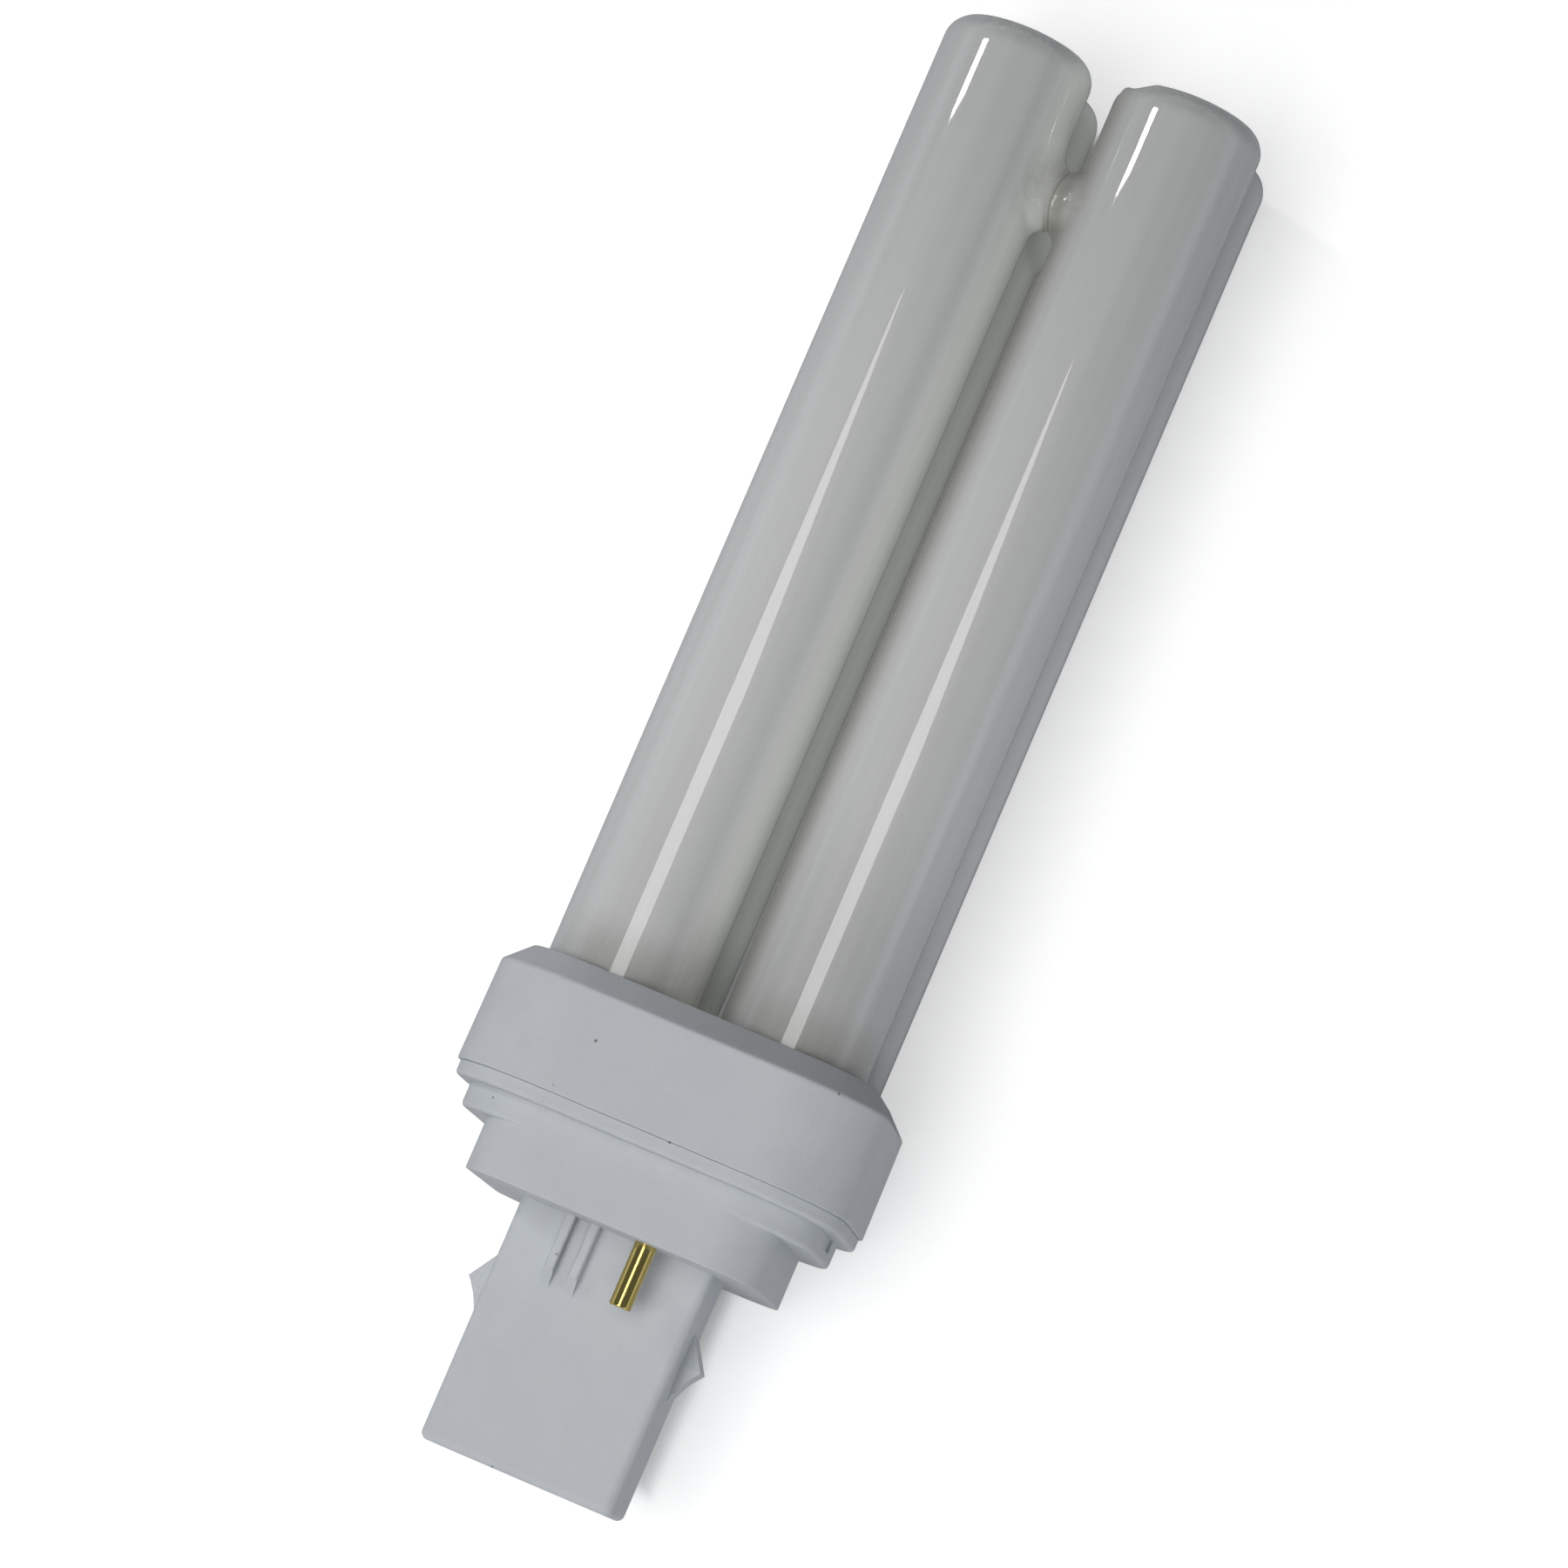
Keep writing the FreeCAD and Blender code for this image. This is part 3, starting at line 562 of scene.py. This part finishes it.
def draw_line_effect():
    """Fine lines that drawing leaves along a wire or a turned pin, in the lamp's direction."""
    group, given, result = effect("drawn_lines", (
        ("Vector", "NodeSocketVector"), ("Width", "NodeSocketFloat"),
    ), (("Height", "NodeSocketFloat"), ("Tone", "NodeSocketFloat")))
    lengthwise = stretched(group, given["Vector"], scale=(1.0, 1.0, 0.06))
    lines = noise(group, lengthwise, maths(group, "DIVIDE", 1.0, given["Width"]), roughness=0.6)
    smudge = fade(group, noise(group, given["Vector"], scale=1.4), *NOISE_RANGE, 0.5, 1.0)
    feed(group, result["Height"], lines)
    feed(group, result["Tone"], times(group, fade(group, lines, *NOISE_RANGE), smudge))
    return group


def placed(tree, group, **values):
    """Puts an effect into a material and sets its inputs by name."""
    node = tree.nodes.new("ShaderNodeGroup")
    node.node_tree = group
    for label, value in values.items():
        feed(tree, node.inputs[label], value)
    return node.outputs


def outer_walls(tree, where):
    """1 on the walls turned away from the lamp's middle plane, at the front and the back."""
    _, y, _ = parts_of(tree, where)
    return fade(tree, size_of(tree, y), *OUTER_WALL)


def weld_distance(tree, where):
    """Squared distance from the middle of the upper necks, as seen from the front."""
    x, _, z = parts_of(tree, where)
    rise = maths(tree, "SUBTRACT", z, TOP_NECK_Z)
    return maths(tree, "ADD", maths(tree, "POWER", x, 2.0), maths(tree, "POWER", rise, 2.0))


def seam_lines_and_shade(tree, where):
    """Dark creases of the upper welds: they bow sideways like the weld ring itself.

    The middle of the seam lies at curvature * (rise / radius)^2 + offset; each crease is a
    line beside it that shows over part of the height, the last a broad band of painted shade.
    """
    curvature, offset_of_ring = SEAM_SWAY
    x, _, z = parts_of(tree, where)
    part = maths(tree, "DIVIDE", maths(tree, "SUBTRACT", z, TOP_NECK_Z), SEAM_R)
    bow = times(tree, maths(tree, "POWER", part, 2.0), curvature)
    gap = maths(tree, "SUBTRACT", x, maths(tree, "ADD", bow, offset_of_ring))
    total = 0.0
    for offset, width, depth, start, end in SEAM_CREASES:
        line = fade(tree, size_of(tree, maths(tree, "SUBTRACT", gap, offset)),
                    width * CREASE_CORE, width, depth, 0.0)
        shown = fade(tree, part, start, end)
        total = maths(tree, "MAXIMUM", total, times(tree, line, shown))
    inside = fade(tree, size_of(tree, part), *CREASE_END)
    return times(tree, times(tree, total, inside), outer_walls(tree, where))


def cleared_weld(tree, where):
    """1 at the upper welds, where the heat has driven the powder off."""
    return times(tree, fade(tree, weld_distance(tree, where), *WELD_CLEAR),
                 outer_walls(tree, where))


def facing_walls(tree, where):
    """1 where legs face each other: painted light and glow, for light passing through them."""
    x, y, _ = parts_of(tree, where)
    nearer = maths(tree, "MINIMUM", size_of(tree, x), size_of(tree, y))
    facing = times(tree, fade(tree, nearer, *FACING_WALL), fade(tree, x, *FACING_ACROSS))
    return times(tree, facing, fade(tree, weld_distance(tree, where), *FACING_WELD))


def powder_coat(tree, where):
    """Colour of the powder, dimmed by painted shade towards the tube ends, with faint bands."""
    _, _, z = parts_of(tree, where)
    # Painted shade: the powder dims towards the tube ends
    coat = blend_colours(tree, fade(tree, z, *END_SHADE_HEIGHTS), *POWDER_AND_END_SHADE)
    lengthwise = stretched(tree, where, scale=(0.45, 0.45, 0.012))
    bands = noise(tree, lengthwise, scale=1.0, detail=3.0, roughness=0.6)
    return tinted(tree, coat, fade(tree, bands, *NOISE_RANGE), *POWDER_BANDS)


def side_shades(tree, where, coat):
    """Painted shade in the gap and on the right legs, and painted light on the far right leg."""
    x, y, _ = parts_of(tree, where)
    inner = maths(tree, "MAXIMUM", fade(tree, x, *INNER_RIGHT), fade(tree, x, *INNER_LEFT))
    coat = tinted(tree, coat, inner, GAP_SHADE, WHITE)
    coat = blend_colours(tree, fade(tree, x, *RIGHT_SHADE), coat, BLACK)
    far_leg = times(tree, fade(tree, y, *FAR_LEG_BACK), fade(tree, x, *FAR_LEG_ACROSS))
    return tinted(tree, coat, far_leg, WHITE, FAR_LEG_LIGHT)


def cap_shade(tree, where):
    """Share of light that the legs lose towards the cap."""
    x, _, z = parts_of(tree, where)
    return times(tree, fade(tree, z, *CAP_SHADE), fade(tree, x, *CAP_SHADE_ACROSS))


def thin_powder_and_shade(tree, where, powder):
    """Powder missing and painted shade just above the cap, on the legs and higher up in the gap."""
    x, _, z = parts_of(tree, where)
    in_gap = fade(tree, size_of(tree, x), *IN_GAP)
    on_legs = times(tree, fade(tree, z, *THIN_AND_SHADE_ON_LEGS), maths(tree, "SUBTRACT", 1.0, in_gap))
    thin_and_shade = maths(tree, "ADD", on_legs, times(tree, fade(tree, z, *THIN_AND_SHADE_IN_GAP), in_gap))
    from_axis = maths(tree, "SUBTRACT", x, times(tree, maths(tree, "SIGN", x), LEG))
    thin_and_shade = times(tree, thin_and_shade, fade(tree, from_axis, *THIN_AND_SHADE_ON_SIDE))
    return times(tree, thin_and_shade, fade(tree, powder, *THIN_PATCHES))


def frosted_ends(tree, where, powder, coat):
    """Dark and pale flecks in the powder of the tube ends."""
    _, _, z = parts_of(tree, where)
    frost = fade(tree, z, *FROST)
    dark = times(tree, frost, fade(tree, powder, *DARK_FLECKS))
    coat = blend_colours(tree, dark, coat, DARK_FLECK)
    flecks = noise(tree, where, scale=1.6, detail=5.0, roughness=0.75)
    pale = times(tree, frost, fade(tree, flecks, *PALE_FLECKS))
    return blend_colours(tree, pale, coat, PALE_FLECK)


def milky_glass(lamp, specks):
    """Glass tube with a white powder coat inside, glossy outside.

    The powder thins to a warmer grey near the cap, where painted shade of the cap and the gap
    adds to it, frosts at the tube ends, is missing at the welds, and is dimmed by painted shade
    towards the tube ends. Where the legs face each other it has painted light and a painted
    glow, which stand in for light passing through them.
    """
    material, tree, surface = shader("milky_glass")
    where = lamp_coordinates(tree, lamp)
    longish = stretched(tree, where, scale=(1.0, 1.0, 0.5))
    powder = noise(tree, longish, scale=2.2, detail=4.0, roughness=0.7)
    clear = cleared_weld(tree, where)
    facing = facing_walls(tree, where)
    thin_and_shade = thin_powder_and_shade(tree, where, powder)
    seam = seam_lines_and_shade(tree, where)
    dirt = placed(tree, specks, Vector=where, Cell=9.0, Size=0.28, Share=0.12)

    coat = powder_coat(tree, where)
    # Painted light where the legs face each other
    coat = tinted(tree, coat, facing, WHITE, LIT_THROUGH)
    coat = side_shades(tree, where, coat)
    coat = blend_colours(tree, times(tree, clear, BARE_SHARE), coat, BARE_GLASS)
    coat = blend_colours(tree, cap_shade(tree, where), coat, BLACK)
    # Thinner powder near the cap, together with painted shade of the cap and the gap
    coat = blend_colours(tree, thin_and_shade, coat, THIN_POWDER_AND_SHADE)
    coat = frosted_ends(tree, where, powder, coat)
    # Dark seam creases, and a broad painted shade beside the seam
    coat = blend_colours(tree, seam, coat, CREASE_AND_SHADE)
    coat = blend_colours(tree, times(tree, dirt["Mask"], DIRT_SHARE), coat, GLASS_DIRT)
    tree.links.new(coat, surface.inputs["Base Color"])

    # Painted glow where the legs face each other
    glow = times(tree, facing, maths(tree, "SUBTRACT", 1.0, thin_and_shade))
    tree.links.new(blend_colours(tree, glow, BLACK, GLASS_GLOW), surface.inputs["Emission Color"])
    surface.inputs["Emission Strength"].default_value = LIGHT_THROUGH
    surface.inputs["Roughness"].default_value = 0.5
    surface.inputs["Specular IOR Level"].default_value = 0.2
    surface.inputs["Coat Weight"].default_value = 1.0
    surface.inputs["Coat Roughness"].default_value = 0.02
    surface.inputs["Coat IOR"].default_value = 1.5

    molten = times(tree, noise(tree, where, scale=0.8), clear)
    relief = maths(tree, "SUBTRACT", molten, times(tree, seam, CREASE_DEPTH))
    normal = bumped(tree, surface, relief, depth=0.00025)
    tree.links.new(normal, surface.inputs["Coat Normal"])
    return material


def cap_plastic(lamp, specks, grain):
    """Pale moulded plastic, matte, with fine grain, faint cloudiness and a few dark specks.

    The shoulder round the tubes has painted shade, deeper towards the right.
    """
    material, tree, surface = shader("cap_plastic")
    where = lamp_coordinates(tree, lamp)
    skin = placed(tree, grain, Vector=where, Grain=0.35, Cloud=5.0)
    pale = blend_colours(tree, skin["Cloudiness"], *PLASTIC)
    pale = blend_colours(tree, times(tree, skin["Tone"], 0.05), pale, PLASTIC_GRAIN)
    x, _, z = parts_of(tree, where)
    # Painted shade on the shoulder round the tubes, deeper towards the right
    shoulder_shade = times(tree, fade(tree, z, *SHOULDER), fade(tree, x, *SHOULDER_SHADE_ACROSS))
    pale = blend_colours(tree, shoulder_shade, pale, BLACK)
    large = placed(tree, specks, Vector=where, Cell=2.6, Size=0.26, Share=0.22)
    small = placed(tree, specks, Vector=where, Cell=1.2, Size=0.1, Share=0.14)
    dirt = maths(tree, "MAXIMUM", times(tree, large["Mask"], 0.75), times(tree, small["Mask"], 0.4))
    pale = blend_colours(tree, dirt, pale, PLASTIC_SPECK)
    tree.links.new(pale, surface.inputs["Base Color"])
    feed(tree, surface.inputs["Roughness"], fade(tree, skin["Cloudiness"], 0.0, 1.0, 0.5, 0.6))
    surface.inputs["Specular IOR Level"].default_value = 0.4
    bumped(tree, surface, skin["Height"], depth=0.00005, strength=0.6)
    return material


def polished_brass(lamp, lines, specks):
    """Bright turned brass with faint drawing lines, tarnish and small pits."""
    material, tree, surface = shader("polished_brass")
    where = lamp_coordinates(tree, lamp)
    drawn = placed(tree, lines, Vector=where, Width=0.12)
    pits = placed(tree, specks, Vector=where, Cell=0.9, Size=0.12, Share=0.2)
    colour = blend_colours(tree, drawn["Tone"], *BRASS)
    colour = blend_colours(tree, times(tree, pits["Mask"], 0.6), colour, BRASS_PIT)
    tree.links.new(colour, surface.inputs["Base Color"])
    surface.inputs["Metallic"].default_value = 1.0
    feed(tree, surface.inputs["Roughness"], fade(tree, drawn["Tone"], 0.0, 1.0, 0.12, 0.07))
    bumped(tree, surface, drawn["Height"], depth=0.0000005, strength=0.3)
    return material


def tinned_wire(lamp, lines):
    """Dull silvery lead wire with drawing lines."""
    material, tree, surface = shader("tinned_wire")
    drawn = placed(tree, lines, Vector=lamp_coordinates(tree, lamp), Width=0.1)
    tree.links.new(blend_colours(tree, drawn["Tone"], *TIN), surface.inputs["Base Color"])
    surface.inputs["Metallic"].default_value = 1.0
    feed(tree, surface.inputs["Roughness"], fade(tree, drawn["Tone"], 0.0, 1.0, 0.45, 0.3))
    bumped(tree, surface, drawn["Height"], depth=0.00001, strength=0.5)
    return material


def basing_cement(lamp, grain, specks):
    """Chalky basing cement with coarse grain and pores."""
    material, tree, surface = shader("basing_cement")
    where = lamp_coordinates(tree, lamp)
    skin = placed(tree, grain, Vector=where, Grain=0.25, Cloud=2.0)
    pores = placed(tree, specks, Vector=where, Cell=0.8, Size=0.2, Share=0.4)
    colour = blend_colours(tree, skin["Cloudiness"], *CEMENT)
    colour = blend_colours(tree, times(tree, pores["Mask"], 0.5), colour, CEMENT_PORE)
    tree.links.new(colour, surface.inputs["Base Color"])
    surface.inputs["Roughness"].default_value = 0.95
    relief = maths(tree, "SUBTRACT", skin["Height"], pores["Mask"])
    bumped(tree, surface, relief, depth=0.0001, strength=0.8)
    return material


def bottle_glass(lamp, specks):
    """Clear glass of the starter bottle, with tiny seeds."""
    material, tree, surface = shader("bottle_glass")
    where = lamp_coordinates(tree, lamp)
    seeds = placed(tree, specks, Vector=where, Cell=1.2, Size=0.12, Share=0.3)
    tree.links.new(blend_colours(tree, seeds["Mask"], *BOTTLE_AND_SEED),
                   surface.inputs["Base Color"])
    surface.inputs["Transmission Weight"].default_value = 1.0
    surface.inputs["Roughness"].default_value = 0.03
    surface.inputs["IOR"].default_value = 1.5
    return material


def capacitor_case(lamp, grain):
    """Dark dipped case of the capacitor, slightly uneven and glossy."""
    material, tree, surface = shader("capacitor_case")
    skin = placed(tree, grain, Vector=lamp_coordinates(tree, lamp), Grain=0.6, Cloud=2.5)
    tree.links.new(blend_colours(tree, skin["Cloudiness"], *CASE), surface.inputs["Base Color"])
    feed(tree, surface.inputs["Roughness"], fade(tree, skin["Tone"], 0.0, 1.0, 0.3, 0.42))
    bumped(tree, surface, skin["Height"], depth=0.0001, strength=0.5)
    return material


def kinds_of_ray(tree):
    """Two masks: of the camera's and passing rays, which meet plain white, and of mirrored rays."""
    path = tree.nodes.new("ShaderNodeLightPath")
    plain = maths(tree, "MAXIMUM", path.outputs["Is Camera Ray"],
                  path.outputs["Is Transmission Ray"])
    return plain, path.outputs["Is Glossy Ray"]


def table_white():
    """White table that reads as plain white to the camera but still takes the shadow."""
    material, tree, surface = shader("white_table")
    where = tree.nodes.new("ShaderNodeTexCoord").outputs["Object"]
    plain, mirrored = kinds_of_ray(tree)
    paper = blend_colours(tree, noise(tree, where, scale=9.0), *TABLE)
    tree.links.new(blend_colours(tree, mirrored, paper, MIRRORED_TABLE),
                   surface.inputs["Base Color"])
    surface.inputs["Roughness"].default_value = 1.0
    surface.inputs["Specular IOR Level"].default_value = 0.0
    surface.inputs["Emission Color"].default_value = WHITE
    x, y, _ = parts_of(tree, where)
    # Painted shadow: less emission under the lamp than in the open
    in_the_open = maths(tree, "MAXIMUM", fade(tree, size_of(tree, x), *LAMP_ACROSS),
                        fade(tree, size_of(tree, y), *LAMP_ALONG))
    shine = fade(tree, in_the_open, 0.0, 1.0, SHADOW_UNDER_LAMP, OPEN_TABLE)
    feed(tree, surface.inputs["Emission Strength"], times(tree, plain, shine))
    return material


def table():
    """Large flat table under the lamp."""
    signs = np.array(((-1.0, -1.0, 0.0), (1.0, -1.0, 0.0), (1.0, 1.0, 0.0), (-1.0, 1.0, 0.0)))
    top = mesh_object("table_top", TABLE_HALF * signs, np.array(((0, 1, 2, 3),)), table_white())


def camera(lamp):
    """The photograph's camera: above the lamp, rolled so that the lamp leans to the right."""
    data = bpy.data.cameras.new("photo_camera")
    data.lens = LENS
    data.sensor_width = SENSOR
    data.clip_start = 0.01
    data.clip_end = 20.0
    spot = lamp @ Vector(CAMERA_AT)
    view = (lamp @ Vector(CAMERA_AIM) - spot).normalized()
    up = lamp.to_3x3() @ Vector((0.0, 0.0, 1.0))
    up = (up - view * up.dot(view)).normalized()
    right = view.cross(up)
    roll = math.radians(CAMERA_ROLL)
    top = up * math.cos(roll) - right * math.sin(roll)
    side = view.cross(top)
    turn = Matrix((side, top, -view)).transposed()
    eye = bpy.data.objects.new("photo_camera", data)
    eye.matrix_world = Matrix.Translation(spot) @ turn.to_4x4()
    bpy.context.scene.collection.objects.link(eye)
    bpy.context.scene.camera = eye


def soft_box(name, at, side, strength, colour, mirrored):
    """Square area light at a point, facing the lamp, its strength as radiance."""
    data = bpy.data.lights.new(name, "AREA")
    data.shape = "RECTANGLE"
    data.size = side
    data.size_y = side
    data.energy = strength * math.pi * side * side
    data.color = colour
    box = bpy.data.objects.new(name, data)
    spot = Vector(at)
    turn = spot.to_track_quat("Z", "Y").to_matrix()
    box.matrix_world = Matrix.Translation(spot) @ turn.to_4x4()
    box.visible_camera = False
    box.visible_glossy = mirrored
    bpy.context.scene.collection.objects.link(box)


def light_panel(name, outline, strength):
    """Flat glowing panel over the table, for a light whose outline shows in the glass."""
    material = bpy.data.materials.new(name)
    material.use_nodes = True
    tree = material.node_tree
    tree.nodes.clear()
    glow = tree.nodes.new("ShaderNodeEmission")
    glow.inputs["Strength"].default_value = strength
    tree.links.new(glow.outputs["Emission"],
                   tree.nodes.new("ShaderNodeOutputMaterial").inputs["Surface"])
    mesh = bpy.data.meshes.new(name)
    mesh.from_pydata([(x, y, PANEL_HEIGHT) for x, y in outline], [], [range(len(outline))])
    mesh.materials.append(material)
    panel = bpy.data.objects.new(name, mesh)
    panel.visible_camera = False
    panel.visible_shadow = False
    bpy.context.scene.collection.objects.link(panel)


def room():
    """Dim studio: plain white where the camera sees it, else a soft cool glow near the horizon.

    The glow lights the lamp from its two sides only, and shows in the glass all round.
    """
    world = bpy.data.worlds.new("room")
    world.use_nodes = True
    tree = world.node_tree
    sky = tree.nodes["Background"]
    side, _, up = parts_of(tree, tree.nodes.new("ShaderNodeTexCoord").outputs["Generated"])
    plain, mirrored = kinds_of_ray(tree)
    shown = maths(tree, "MAXIMUM", mirrored, fade(tree, size_of(tree, side), *ROOM_SIDES))
    glow = maths(tree, "ADD", times(tree, mirrored, ROOM_ABOVE),
                 times(tree, shown, fade(tree, up, *HORIZON)))
    feed(tree, sky.inputs["Strength"], maths(tree, "MAXIMUM", plain, glow))
    feed(tree, sky.inputs["Color"], blend_colours(tree, plain, ROOM_GLOW, WHITE))
    bpy.context.scene.world = world


def lights():
    """A cut-corner panel overhead, a strip at the left, five soft boxes and the room itself."""
    for name, (outline, strength) in PANELS.items():
        light_panel(name, outline, strength)
    for name, (at, side, strength, colour, mirrored) in SOFT_BOXES.items():
        soft_box(name, at, side, strength, colour, mirrored)
    room()


def dress(nodes, names, material):
    """Gives CAD nodes a finish in place of their plain one."""
    for name in names:
        nodes[name].data.materials.clear()
        nodes[name].data.materials.append(material)


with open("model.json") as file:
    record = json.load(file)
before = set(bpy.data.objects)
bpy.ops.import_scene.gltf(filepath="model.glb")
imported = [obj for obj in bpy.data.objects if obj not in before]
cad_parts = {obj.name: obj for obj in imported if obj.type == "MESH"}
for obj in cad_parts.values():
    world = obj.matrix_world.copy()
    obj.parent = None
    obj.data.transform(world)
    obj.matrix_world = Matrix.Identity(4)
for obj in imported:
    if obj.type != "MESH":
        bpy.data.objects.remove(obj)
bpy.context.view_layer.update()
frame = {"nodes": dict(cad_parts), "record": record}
lamp = lamp_frame(frame["record"])
nodes = frame["nodes"]

specks = speck_effect()
grain = grain_effect()
lines = draw_line_effect()

tubes = glass_tubes(lamp, milky_glass(lamp, specks))
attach(tubes, "root")
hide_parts("discharge_tube")
dress(nodes, ("base_shell", "collar_shell"), cap_plastic(lamp, specks, grain))
dress(nodes, ("contact_pin_front", "contact_pin_back"), polished_brass(lamp, lines, specks))
dress(nodes, ("pin_lead_front", "pin_lead_back", "start_lead_front", "start_lead_back",
              "starter_wire_front", "starter_wire_back", "capacitor_wire_front",
              "capacitor_wire_back"), tinned_wire(lamp, lines))
dress(nodes, ("cement_front_left", "cement_front_right", "cement_back_left",
              "cement_back_right"), basing_cement(lamp, grain, specks))
dress(nodes, ("starter_bottle",), bottle_glass(lamp, specks))
dress(nodes, ("capacitor",), capacitor_case(lamp, grain))

table()
camera(lamp)
lights()

bpy.context.scene.view_settings.view_transform = "Standard"
